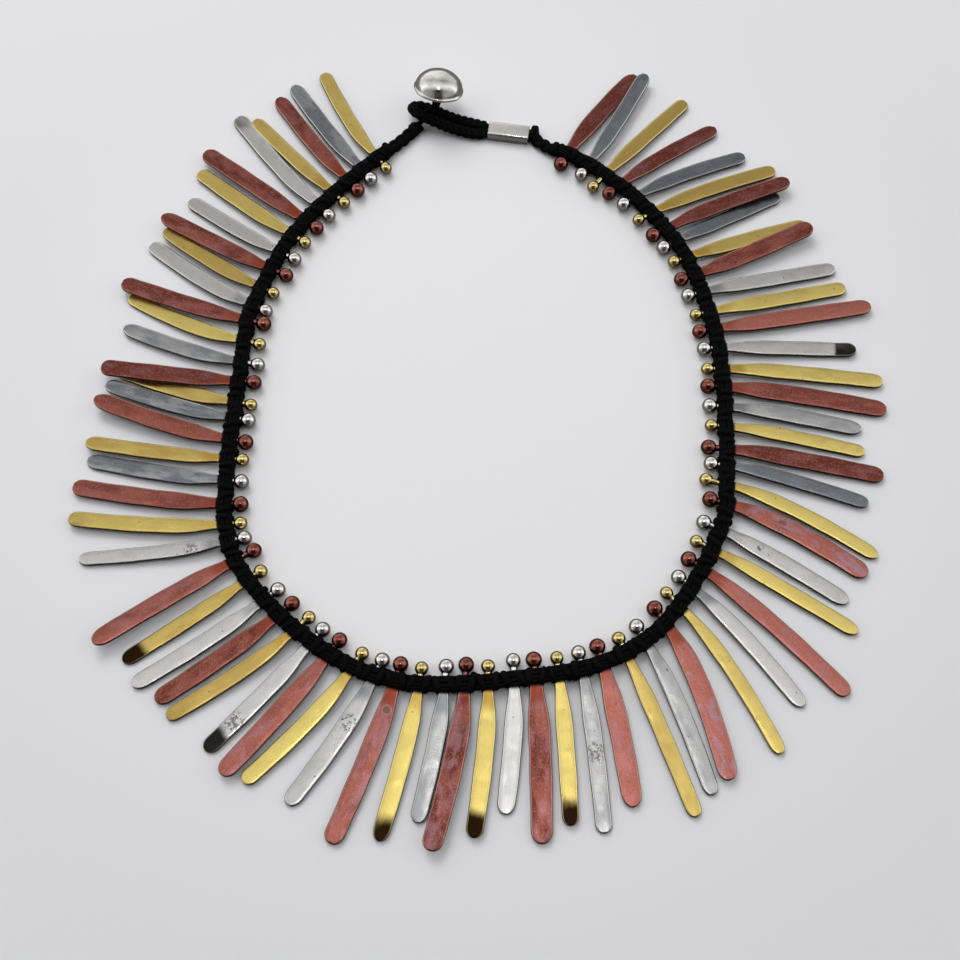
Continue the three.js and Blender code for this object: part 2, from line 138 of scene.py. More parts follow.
def gridPart(points, closed=False, run=None, **values):
    # Quads over a batch of grids, rows along and columns round; open grids get a fan to the middle of each end.
    # run is the length along each row, for the strand coordinates; values are one number or vector per point
    points = points.reshape((-1,) + points.shape[-3:])
    batch, rows, columns = points.shape[:3]
    index = np.arange(batch * rows * columns).reshape(batch, rows, columns)
    here = index if closed else index[:, :-1]
    below = np.roll(index, -1, axis=1) if closed else index[:, 1:]
    quads = np.stack([here, np.roll(here, -1, 2), np.roll(below, -1, 2), below], -1).reshape(-1, 4)
    part = {"points": points.reshape(-1, 3), "quads": quads, "fans": np.zeros((0, 3), int), "values": {}}
    for key, value in values.items():
        value = np.broadcast_to(value, points.shape[:3] + np.shape(value)[-1:])
        part["values"][key] = value.reshape(-1, value.shape[-1])
    if not closed:
        middle = len(part["points"]) + np.arange(2 * batch).reshape(batch, 2, 1)
        first, last = index[:, 0], index[:, -1]
        spread = np.ones_like(first)
        part["fans"] = np.concatenate([
            np.stack([middle[:, 0] * spread, np.roll(first, -1, 1), first], -1).reshape(-1, 3),
            np.stack([middle[:, 1] * spread, last, np.roll(last, -1, 1)], -1).reshape(-1, 3),
        ])
        ends = np.stack([first, last], 1).reshape(-1, columns)
        part["points"] = np.vstack([part["points"], part["points"][ends].mean(1)])
        part["values"] = {k: np.vstack([v, v[ends].mean(1)]) for k, v in part["values"].items()}
    if run is not None:
        run = np.broadcast_to(run, (batch, rows + 1 if closed else rows))
        lengthHere = np.repeat(run[:, :-1], columns, 1).reshape(-1)
        lengthNext = np.repeat(run[:, 1:], columns, 1).reshape(-1)
        around = np.tile(np.arange(columns) / columns, len(lengthHere) // columns)
        beyond = around + 1 / columns
        u = np.stack([lengthHere, lengthHere, lengthNext, lengthNext], -1)
        v = np.stack([around, beyond, beyond, around], -1)
        part["strand"] = np.stack([u, v, np.zeros_like(u)], -1).reshape(-1, 3)
    return part


def buildPiece(name, parts, material, replaced):
    # Joins the parts' arrays into one mesh at the origin, in metres
    starts = np.cumsum([0] + [len(part["points"]) for part in parts])
    points = np.vstack([part["points"] for part in parts]) + shift
    quads = np.vstack([part["quads"] + start for part, start in zip(parts, starts)])
    fans = np.vstack([part["fans"] + start for part, start in zip(parts, starts)])
    corners = np.concatenate([quads.ravel(), fans.ravel()])
    loops = np.concatenate([np.arange(len(quads)) * 4, len(quads) * 4 + np.arange(len(fans)) * 3])
    mesh = bpy.data.meshes.new(name)
    mesh.vertices.add(len(points))
    mesh.vertices.foreach_set("co", (points / 1000).astype(np.float32).ravel())
    mesh.loops.add(len(corners))
    mesh.loops.foreach_set("vertex_index", corners.astype(np.int32))
    mesh.polygons.add(len(loops))
    mesh.polygons.foreach_set("loop_start", loops.astype(np.int32))
    mesh.update(calc_edges=True)
    mesh.shade_smooth()
    for key in parts[0]["values"]:
        data = np.vstack([part["values"][key] for part in parts]).astype(np.float32)
        mesh.attributes.new(key, "FLOAT_VECTOR", "POINT").data.foreach_set("vector", data.ravel())
    if "strand" in parts[0]:
        strand = np.vstack([part["strand"] for part in parts] + [np.zeros((fans.size, 3))])
        mesh.attributes.new("strand", "FLOAT_VECTOR", "CORNER").data.foreach_set(
            "vector", strand.astype(np.float32).ravel())
    mesh.materials.append(material)
    piece = bpy.data.objects.new(name, mesh)
    bpy.context.scene.collection.objects.link(piece)
    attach(piece, "root")
    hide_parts(*replaced)
    return piece


def colour(hexCode):   # sRGB hex to linear
    parts = [int(hexCode[i:i + 2], 16) / 255 for i in (1, 3, 5)]
    return [p / 12.92 if p <= 0.04045 else ((p + 0.055) / 1.055) ** 2.4 for p in parts] + [1]


def newMaterial(name):
    material = bpy.data.materials.new(name)
    material.use_nodes = True
    material.node_tree.nodes.clear()
    return material, material.node_tree


def addNode(tree, kind, inputs=None, stops=None, **settings):
    # One node: settings are its own properties, inputs are values, other nodes' outputs or, for their first output,
    # the other nodes themselves, and stops are a ramp's colours
    node = tree.nodes.new("ShaderNode" + kind)
    for key, value in settings.items():
        setattr(node, key, value)
    for key, value in (inputs or {}).items():
        if isinstance(value, bpy.types.Node):
            value = value.outputs[0]
        if isinstance(value, bpy.types.NodeSocket):
            tree.links.new(value, node.inputs[key])
        else:
            node.inputs[key].default_value = value
    for place, (position, shade) in enumerate(stops or []):
        ramp = node.color_ramp.elements
        stop = ramp[place] if place < 2 else ramp.new(position)
        stop.position, stop.color = position, shade
    return node


def grey(value):
    return [value, value, value, 1]


# Settings that many nodes share
smooth = {"interpolation_type": "SMOOTHSTEP"}
multiply = {"operation": "MULTIPLY"}
multiplyAdd = {"operation": "MULTIPLY_ADD"}
mixFloat = {"data_type": "FLOAT"}
mixColour = {"data_type": "RGBA"}


# Blades and balls share one build. place is (mm from the root, mm across, the stick's own number for its pattern);
# patina is (burnt tip, which on a bent-up facet is a painted shade instead, darkened root, rounded rim that is rubbed
# bright and partly a painted highlight); mark is the offset in mm from the stick's stain and its radius; tone is (how
# dull the whole stick is, partly tarnish and partly a painted shade, 1 on the ball and neck, how much bloom); wear is
# (1 where the stain is ringed, how much painted shade darkens the outer edge into a dark outline)
def stickMetal(name, face, dullAndShade, deep, burntAndShade, rootShade, stain, rimShade, grain, speckle, bloom, rough):
    material, tree = newMaterial(name)
    place, *vectors = (addNode(tree, "Attribute", attribute_name=key).outputs["Vector"]
                       for key in ("place", "patina", "mark", "tone", "wear"))
    patina, mark, tone, wear = (addNode(tree, "SeparateXYZ", {0: vector}).outputs for vector in vectors)

    # Cloudy tarnish, 6 to 9 mm across, drawn out along the blade; its strength on each stick is partly a painted
    # shade for sticks that the light leaves darker
    stretched = addNode(tree, "Mapping", {"Vector": place, "Scale": (0.11, 0.3, 1)})
    cloud = addNode(tree, "TexNoise", {"Vector": stretched, "Scale": 1, "Detail": 4, "Roughness": 0.55})
    cloudShare = addNode(tree, "MapRange", {"Value": cloud, "From Min": 0.4, "From Max": 0.62}, **smooth)
    dulledAndShaded = addNode(tree, "Math", {0: cloudShare, 1: tone[0], 2: tone[0]}, use_clamp=True, **multiplyAdd)

    # Oxide bloom in patches of 3 mm: pale violet on copper, grey on steel, straw on brass
    patch = addNode(tree, "Mapping", {"Vector": place, "Scale": (0.2, 0.42, 1.7)})
    patchNoise = addNode(tree, "TexNoise", {"Vector": patch, "Scale": 1, "Detail": 3, "Distortion": 0.8})
    bloomed = addNode(tree, "MapRange", {"Value": patchNoise, "From Min": 0.44, "From Max": 0.66}, **smooth)
    bloomed = addNode(tree, "Math", {0: bloomed, 1: tone[2]}, **multiply)

    # Rolling lines along the blade, about 0.25 mm apart
    lines = addNode(tree, "Mapping", {"Vector": place, "Scale": (0.12, 4, 1)})
    lineNoise = addNode(tree, "TexNoise", {"Vector": lines, "Scale": 1, "Detail": 3, "Roughness": 0.6})
    lined = addNode(tree, "MapRange", {
        "Value": lineNoise, "From Min": 0.3, "From Max": 0.75, "To Min": 0, "To Max": grain})

    # Fine speckle of the etched skin: cells of 0.22 mm, a few of them bright and a few dark, none on the balls
    cells = addNode(tree, "TexVoronoi", {"Vector": place, "Scale": 4.5})
    cellTone = addNode(tree, "SeparateColor", {0: cells.outputs["Color"]}).outputs
    onFace = addNode(tree, "Math", {0: 1.0, 1: tone[1]}, operation="SUBTRACT")
    speckled = []
    for channel, least in ((0, 0.8), (1, 0.86)):
        few = addNode(tree, "MapRange", {
            "Value": cellTone[channel], "From Min": least, "From Max": 1, "To Min": 0, "To Max": speckle})
        speckled.append(addNode(tree, "Math", {0: few, 1: onFace}, **multiply))

    # Scattered pits of 0.3 mm, one every 6 mm or so
    pits = addNode(tree, "TexVoronoi", {"Vector": place, "Scale": 0.33, "Randomness": 1})
    pitted = addNode(tree, "MapRange", {
        "Value": pits, "From Min": 0.05, "From Max": 0.09, "To Min": 0.7, "To Max": 0}, **smooth)
    pitted = addNode(tree, "Math", {0: pitted, 1: onFace}, **multiply)

    # Warm root, burnt tip with a ragged edge; on a bent-up tip facet the same dark tint is a painted shade
    rooted = addNode(tree, "Math", {0: cloud, 1: 0.8, 2: patina[1]}, **multiplyAdd)
    rooted = addNode(tree, "MapRange", {"Value": rooted, "From Min": 0.55, "From Max": 1.15}, **smooth)
    tipped = addNode(tree, "Math", {0: patchNoise, 1: 0.5, 2: patina[0]}, **multiplyAdd)
    tipped = addNode(tree, "MapRange", {"Value": tipped, "From Min": 0.45, "From Max": 1.1}, **smooth)

    # One stain, broken up by noise: either a dark middle inside a pale ring, or a scatter of grey specks
    away = addNode(tree, "CombineXYZ", {0: mark[0], 1: mark[1]})
    away = addNode(tree, "VectorMath", {0: away}, operation="LENGTH").outputs["Value"]
    away = addNode(tree, "Math", {0: away, 1: mark[2]}, operation="DIVIDE")
    away = addNode(tree, "Math", {0: patchNoise, 1: 0.5, 2: away}, **multiplyAdd)
    specks = addNode(tree, "TexNoise", {"Vector": place, "Scale": 1.5, "Detail": 3})
    scatter = addNode(tree, "MapRange", {"Value": specks, "From Min": 0.44, "From Max": 0.6}, **smooth)
    solid = addNode(tree, "Mix", {0: wear[0], 2: scatter, 3: 1.0}, **mixFloat)
    spot = addNode(tree, "MapRange", {
        "Value": away, "From Min": 0.7, "From Max": 1.05, "To Min": 0.8, "To Max": 0}, **smooth)
    spot = addNode(tree, "Math", {0: spot, 1: solid}, **multiply)
    ring = addNode(tree, "MapRange", {"Value": away, "From Min": 0.8, "From Max": 1.05}, **smooth)
    ringOuter = addNode(tree, "MapRange", {
        "Value": away, "From Min": 1.1, "From Max": 1.3, "To Min": 0.45, "To Max": 0}, **smooth)
    ring = addNode(tree, "Math", {0: ring, 1: ringOuter}, **multiply)
    ring = addNode(tree, "Math", {0: ring, 1: wear[0]}, **multiply)

    # Rims and balls are rubbed bright; on the blades' rounded sides this is partly a painted highlight where the edge
    # catches the light
    rim = addNode(tree, "Math", {0: patina[2], 1: 0.75}, **multiply)

    shade = colour(face)
    for share, tint in (
        (dulledAndShaded, dullAndShade), (bloomed, bloom), (lined, deep), (speckled[0], rimShade), (speckled[1], burntAndShade),
        (pitted, stain), (rooted, rootShade), (tipped, burntAndShade), (ring, bloom), (spot, stain), (rim, rimShade),
        # the last layer is a painted shade: a dark outline along each blade's outer edge
        (wear[1], burntAndShade),
    ):
        shade = addNode(tree, "Mix", {0: share, 6: shade, 7: colour(tint)}, **mixColour).outputs[2]

    roughNoise = addNode(tree, "MapRange", {
        "Value": cloud, "From Min": 0.3, "From Max": 0.7, "To Min": rough - 0.05, "To Max": rough + 0.09})
    roughness = addNode(tree, "Mix", {0: rim, 2: roughNoise, 3: 0.16}, **mixFloat)
    roughness = addNode(tree, "Math", {0: tipped, 1: 0.12, 2: roughness}, **multiplyAdd)
    roughness = addNode(tree, "Mix", {0: tone[1], 2: roughness, 3: 0.13}, **mixFloat)

    # The lines and cells are felt as a fine grain over the dents of the hammer, 3 to 4 mm apart
    height = addNode(tree, "Math", {0: lineNoise, 1: 0.35, 2: cellTone[2]}, **multiplyAdd)
    dent = addNode(tree, "TexNoise", {"Vector": place, "Scale": 0.28, "Detail": 1})
    fine = addNode(tree, "Bump", {"Height": height, "Strength": 0.05, "Distance": 0.00004})
    bump = addNode(tree, "Bump", {"Height": dent, "Strength": 0.35, "Distance": 0.00035, "Normal": fine})
    shader = addNode(tree, "BsdfPrincipled", {
        "Base Color": shade, "Metallic": 1.0, "Roughness": roughness, "Normal": bump})
    addNode(tree, "OutputMaterial", {"Surface": shader})
    return material


# Rolled brass wire, flattened and satin, with an olive tarnish: yellow faces that go brown at the tips
brass = stickMetal("rolled_brass", face="#f3dc80", dullAndShade="#d0b163", deep="#c3a353", burntAndShade="#2e1c0e",
                   rootShade="#c9a450", stain="#7a6238", rimShade="#fbeeb4", grain=0.2, speckle=0.12,
                   bloom="#d9bd70", rough=0.3)

# Flattened steel wire with a silver look: light grey faces, slate smudges that are partly a painted shade, dark pits,
# bright rims that are partly a painted highlight
steel = stickMetal("rolled_steel", face="#dcdad5", dullAndShade="#787c83", deep="#a4a5a6", burntAndShade="#2b2926",
                   rootShade="#8f9192", stain="#5b5953", rimShade="#f6f3ec", grain=0.22, speckle=0.14,
                   bloom="#b3b5b8", rough=0.28)

# Flattened copper wire, oxidised red-brown with a pink and violet bloom and a fine sparkle, orange at the root
copper = stickMetal("oxidised_copper", face="#c47768", dullAndShade="#783d33", deep="#8c4a41", burntAndShade="#3c211b",
                    rootShade="#9a4a36", stain="#6f625b", rimShade="#e6b3a0", grain=0.22, speckle=0.3,
                    bloom="#bd8f98", rough=0.33)


def blackCord():
    # Waxed nylon cord, fine-braided: dull black, with a painted sheen that makes the raised threads a little lighter
    # and cooler
    material, tree = newMaterial("braided_nylon_cord")
    strand = addNode(tree, "Attribute", attribute_name="strand")
    # Threads cross in both directions, 0.45 mm apart along the cord and eight round it
    lay = addNode(tree, "SeparateXYZ", {0: strand.outputs["Vector"]}).outputs
    turn = addNode(tree, "Math", {0: lay[1], 1: 8 * math.pi}, **multiply)
    run = addNode(tree, "Math", {0: lay[0], 1: 2 * math.pi / 0.9}, **multiply)
    oneWay = addNode(tree, "Math", {0: run, 1: turn}, operation="ADD")
    otherWay = addNode(tree, "Math", {0: run, 1: turn}, operation="SUBTRACT")
    oneWay = addNode(tree, "Math", {0: oneWay}, operation="SINE")
    otherWay = addNode(tree, "Math", {0: otherWay}, operation="SINE")
    weave = addNode(tree, "Math", {0: oneWay, 1: otherWay}, operation="MAXIMUM")
    place = addNode(tree, "TexCoord").outputs["Object"]
    fuzz = addNode(tree, "TexNoise", {"Vector": place, "Scale": 2500, "Detail": 2})
    height = addNode(tree, "Math", {0: fuzz, 1: 0.6, 2: weave}, **multiplyAdd)
    wear = addNode(tree, "TexNoise", {"Vector": place, "Scale": 140, "Detail": 3})
    wearShare = addNode(tree, "MapRange", {"Value": wear, "From Min": 0.4, "From Max": 0.7})
    dark = addNode(tree, "Mix", {0: wearShare, 6: colour("#030303"), 7: colour("#060607")}, **mixColour)
    # painted sheen: the crests of the weave are lightened
    paintedSheen = addNode(tree, "MapRange", {"Value": weave, "From Min": -0.4, "From Max": 1, "To Min": 0, "To Max": 0.5})
    shade = addNode(tree, "Mix", {0: paintedSheen, 6: dark.outputs[2], 7: colour("#0b0c0d")}, **mixColour)
    bump = addNode(tree, "Bump", {"Height": height, "Strength": 0.45, "Distance": 0.00007})
    shader = addNode(tree, "BsdfPrincipled", {
        "Base Color": shade.outputs[2], "Roughness": 0.62, "Specular IOR Level": 0.07, "Normal": bump})
    addNode(tree, "OutputMaterial", {"Surface": shader})
    return material


def polishedSilver(name, rough, dents, tarnish):
    # Cast silver, polished: near-white, with soft hammer dents and a grey film where fingers don't rub
    material, tree = newMaterial(name)
    place = addNode(tree, "TexCoord").outputs["Object"]
    film = addNode(tree, "TexNoise", {"Vector": place, "Scale": 260, "Detail": 4})
    filmShare = addNode(tree, "MapRange", {"Value": film, "From Min": 0.42, "From Max": 0.7,
                                           "To Min": 0, "To Max": tarnish})
    shade = addNode(tree, "Mix", {0: filmShare, 6: colour("#f0ede6"), 7: colour("#a9a59c")}, **mixColour)
    stretched = addNode(tree, "Mapping", {"Vector": place, "Scale": (1, 9, 9)})
    scratch = addNode(tree, "TexNoise", {"Vector": stretched, "Scale": 500, "Detail": 2})
    roughness = addNode(tree, "MapRange", {"Value": scratch, "From Min": 0.35, "From Max": 0.75,
                                           "To Min": rough, "To Max": rough + 0.14})
    dent = addNode(tree, "TexVoronoi", {"Vector": place, "Scale": 330, "Smoothness": 1},
                   feature="SMOOTH_F1")
    fine = addNode(tree, "Bump", {"Height": scratch, "Strength": 0.06, "Distance": 0.00003})
    bump = addNode(tree, "Bump", {"Height": dent.outputs["Distance"], "Strength": dents, "Distance": 0.0006,
                                  "Normal": fine})
    shader = addNode(tree, "BsdfPrincipled", {
        "Base Color": shade.outputs[2], "Metallic": 1.0, "Roughness": roughness, "Normal": bump})
    addNode(tree, "OutputMaterial", {"Surface": shader})
    return material


cordBlack = blackCord()
buttonSilver = polishedSilver("polished_silver", rough=0.1, dents=0.35, tarnish=0.5)
cuffSilver = polishedSilver("satin_silver", rough=0.22, dents=0.01, tarnish=0.1)
print("materials made")

# The route is the braid's centreline seen from above, from under the button round to the cuff
braid = {
    "route": [
        [-17, 105.5], [-21, 101], [-27.5, 95], [-39.5, 83], [-50, 70], [-57, 55], [-60.5, 44.5], [-61, 38],
        [-62, 21.5], [-63, 4], [-62.5, -12], [-59, -22.5], [-48.5, -35], [-39.5, -42.5], [-30.5, -48],
        [-20, -51.5], [-8.5, -52.5], [13.5, -50.5], [25, -48.5], [35, -44.5], [41.5, -40], [47.5, -33.5],
        [56, -20], [60.5, -9], [61, -3.5], [62, 13], [62, 30], [61, 41], [55, 62.5], [49.5, 72], [42.5, 81],
        [34.5, 88.5], [25.5, 95], [19, 98], [15, 101],
    ],
    "width": 4.3, "height": 3.9, "buttonTail": 15.3, "cuffTail": 12.1, "tailHeight": 2.7,
    "neckHeight": 2.05,
}
# Each stick: mm past its even place, swing in degrees, reach and breadth as shares, level of the tip above the
# table, mm that the ball stands off the braid
fringe = [
    [0.5, -15, 0.92, 0.95, 0.5, 0.5], [0.5, -9, 0.98, 1, 0.3, 0], [0, -9, 0.97, 0.9, 0.5, 0],
    [0, -5, 0.94, 0.95, 0.4, 0.5], [0, -10, 1.07, 1, 0.2, 0], [0, 1, 0.99, 1, 2, 0],
    [0, -6, 0.94, 1.05, 0.4, 0.5], [0.5, -8, 0.86, 0.95, 0.2, 0.5], [0.5, -5, 0.94, 0.95, 2.6, 0.5],
    [1, -12, 0.9, 1, 1.2, 0], [1, -16, 0.96, 1, 0, 0], [0, -8, 0.98, 0.95, 2, 0.5],
    [0.5, -20, 0.96, 1, 0, 0.5], [1, -15, 0.92, 0.95, 0.6, 0.5], [1, -2, 0.98, 0.95, 3, 0],
    [1.3, -14, 0.9, 1, 0, 0.3], [0.1, -12, 0.96, 0.95, 1.4, 0], [0.5, -14, 1.02, 0.95, 2.6, 0],
    [0.2, -6, 1.01, 0.95, 1.4, 0], [0.4, -9, 1, 0.95, 0.1, 0], [1, -10, 1.07, 0.95, 0.8, 0],
    [0.9, -13, 1.08, 1, 1.2, 0], [-0.2, -10, 1.02, 0.85, 0.2, 0], [-0.4, 5, 1.07, 0.95, 2.6, 1],
    [0, -4, 0.97, 0.95, 0, 0], [1, -9, 1.02, 0.95, 0.2, 0], [0.5, -9, 0.97, 0.95, 0.4, 0],
    [0.5, -15, 1, 0.95, 0.2, 0.5], [0, -7, 0.97, 0.95, 0.1, 0], [-0.5, -7, 1.03, 1, 1.4, 0],
    [0.5, -18, 1.01, 1, 0.4, 0.1], [0.5, -15, 0.99, 1, 0.1, 0], [0, -9, 1.11, 1, 0.4, 0],
    [0, -9, 1.03, 1, 0.3, 0], [0.4, -11, 0.9, 0.95, 0.1, 0.4], [-0.4, -15, 1.09, 1, 2.1, 0.5],
    [-0.5, -11, 1, 1, 0.8, 0], [0, -11, 0.87, 1, 0.1, 0.5], [-0.5, -6, 1.07, 1.05, 0.5, 0],
    [-0.5, -5, 0.98, 0.95, 0.6, 0], [-0.5, -8, 1.06, 0.9, 0.1, 0], [-1, -10, 0.95, 1, 0.5, 0],
    [-0.5, -6, 1.14, 0.9, 0.3, 0], [-0.5, -15, 1.08, 0.9, 0.1, 0], [0.5, -27, 1.1, 1, 1, 0.2],
    [0.5, -21, 1.16, 0.85, 0.3, 0.5], [0.5, -16, 1.06, 0.9, 0.1, 0], [0.5, -13, 1.25, 0.9, 0.4, 0],
    [0.5, -5, 1.1, 0.9, 0.3, 0.5], [0.5, -9, 0.97, 0.95, 0.1, 0.5], [2, -23, 1.05, 1, 0.5, 0.2],
    [1.5, -23, 1.12, 0.9, 0.3, 1.5], [1, -12, 1, 0.85, 0.6, 0], [0, -7, 1.1, 0.95, 0.5, 0.5],
    [0.5, -9, 0.98, 0.9, 0.3, 0], [0.5, -9, 0.97, 0.95, 0.4, 0], [0.5, -9, 1.16, 1, 0.5, 0],
    [0, -7, 1.15, 1, 0.6, 0], [0.5, -5, 0.99, 0.95, 0.3, 0], [0.5, -1, 1.17, 0.95, 1, 0],
    [0, -1, 1.04, 1, 0.5, 0], [0.5, -3, 1.02, 0.95, 0.4, 0], [0.5, 6, 0.97, 1, 2.6, 0],
    [0.5, -5, 0.97, 1, 0.2, 0], [0.5, -4, 0.91, 0.95, 0.2, 0], [-0.5, -11, 1.03, 0.9, 2.4, 0],
    [0, -15, 1.04, 1, 0.5, 0.5], [1, -19, 0.94, 0.95, 0.5, 0], [1, -13, 0.93, 0.9, 0.5, 0],
    [0.5, -4, 0.95, 1, 0.4, 1.5], [0.5, 6, 0.94, 0.95, 2.2, 0], [1.5, -11, 0.94, 1, 0, 0],
]
route = smoothRoute(braid["route"], 120)
routeLength = route[0][-1]
pitch = (routeLength - braid["buttonTail"] - braid["cuffTail"]) / (len(fringe) - 1)
stickDistances = braid["buttonTail"] + pitch * np.arange(len(fringe)) + np.array([row[0] for row in fringe])
# The braid draws in at every stick, and once more a knot beyond the first and the last
waists = np.concatenate([[stickDistances[0] - pitch], stickDistances, [stickDistances[-1] + pitch]])
middleStick = len(fringe) // 2   # the first stick of the right half
halfway = (stickDistances[middleStick - 1] + stickDistances[middleStick]) / 2
print(f"braid route {routeLength:.1f} mm, sticks every {pitch:.2f} mm")

stickShape = {
    "reach": 36, "thickness": 0.8, "start": 2.75, "tuck": 1.0, "stackStep": 1.1, "neckRadius": 0.72,
    "at": [0, 0.04, 0.13, 0.25, 0.62, 0.93, 1], "width": [0.6, 0.66, 0.86, 0.98, 1, 0.95, 0.92],
    "crown": 0.05, "rows": 46, "seed": 11,
    "thickAt": [0, 2, 6], "thick": [1.25, 1.15, 1],   # shares of the thickness, mm out from the braid
    "offTable": 0.04, "bendAt": 0.35, "rowCrowding": 1.35, "wave": 0.015,
    "tipLength": 1.05, "tipLengthVaries": 0.7, "tipSquareness": 2, "tipSquarenessVaries": 0.8,
    # Painted light among these: the bent-up facet's darkening and the darkened outer edge are painted shade, and the
    # rubbed rim is partly a painted highlight
    "creaseRise": 0.3, "creaseFade": 14, "facetSlope": 0.09, "facetPaintedShade": 0.8,
    "burntWithin": [9, 2.5], "rootWithin": [1, 7],   # mm from the tip and from the braid
    "rubbedRimAndHighlight": [0.15, 0.75], "paintedEdgeShade": [0.62, 0.92],   # shares of the rounded side's width
    "ballSeat": 0.12, "ballDull": 0.6, "neckPast": 0.4, "neckFlare": 0.35, "ballRings": 17, "ballSides": 18,
    "patternStep": 7.3,   # how far apart in its pattern each stick reads the noises
    # Name, ball radius, blade width, material, how bright the ball is rubbed
    "metals": [("brass", 1.65, 4.3, brass, 0.45), ("silver", 1.85, 4.5, steel, 1),
               ("copper", 1.95, 5.0, copper, 0.1)],
}

# What the photograph shows on single sticks, by number: burnt tip, dark root, crease in mm from the braid, facet as
# the mm of a tip that is bent up, and stain as mm along, mm across and radius, ringed or else a scatter of specks
stickMarks = {
    2: {"root": 0.3}, 5: {"root": 0.2, "tip": 0.5}, 10: {"tip": 0.25}, 16: {"tip": 0.3}, 22: {"tip": 0.4},
    23: {"root": 0.6, "stain": (6.5, 0.2, 2.6)}, 25: {"tip": 1.15}, 28: {"tip": 0.35},
    29: {"tip": 1.15, "stain": (23, -0.5, 4)}, 32: {"stain": (10, 0.3, 3.4)},
    33: {"stain": (4.6, 0.2, 1.35), "ringed": 1}, 34: {"tip": 0.85}, 35: {"root": 0.9},
    36: {"stain": (8, 0.6, 2)}, 37: {"tip": 1.1}, 40: {"tip": 0.95}, 41: {"stain": (17, 0, 4)},
    44: {"crease": 4.2, "stain": (6, 1.2, 0.8)}, 45: {"stain": (5, 0.3, 0.5)},
    47: {"root": 0.7}, 49: {"root": 0.55, "crease": 3.6}, 50: {"stain": (8, 0.4, 1.5)},
    51: {"stain": (12, -0.5, 3.4)}, 53: {"root": 0.6, "crease": 4.4}, 54: {"crease": 3.8},
    55: {"crease": 3.9, "root": 0.4}, 56: {"root": 0.7, "crease": 4}, 58: {"crease": 4.6},
    59: {"facet": 5.5}, 61: {"crease": 4.2}, 62: {"crease": 4}, 66: {"crease": 4},
}
# How dull each stick looks, in tenths, in the fringe's order, partly tarnish and partly a painted shade for sticks
# that look darker in the light; and how much bloom some have, by number
dullnessAndShade = [
    4, 7, 5, 5, 0, 6, 3, 1, 5, 8, 0, 5, 0, 4, 9, 4, 6, 4, 6, 6, 4, 3, 0, 3, 6, 0, 6, 8, 0, 2, 0, 1, 3, 0, 3, 6,
    0, 0, 5, 0, 3, 0, 4, 3, 0, 2, 0, 0, 0, 0, 1, 0, 10, 8, 0, 3, 4, 0, 0, 0, 0, 0, 5, 4, 10, 8, 10, 10, 9, 9, 9, 8,
]
bloomOn = {24: 0.3, 30: 0.4, 33: 0.45, 36: 0.5, 39: 0.3, 42: 0.35, 45: 1, 48: 0.4, 51: 1, 60: 0.1}
randomStick = np.random.default_rng(stickShape["seed"])


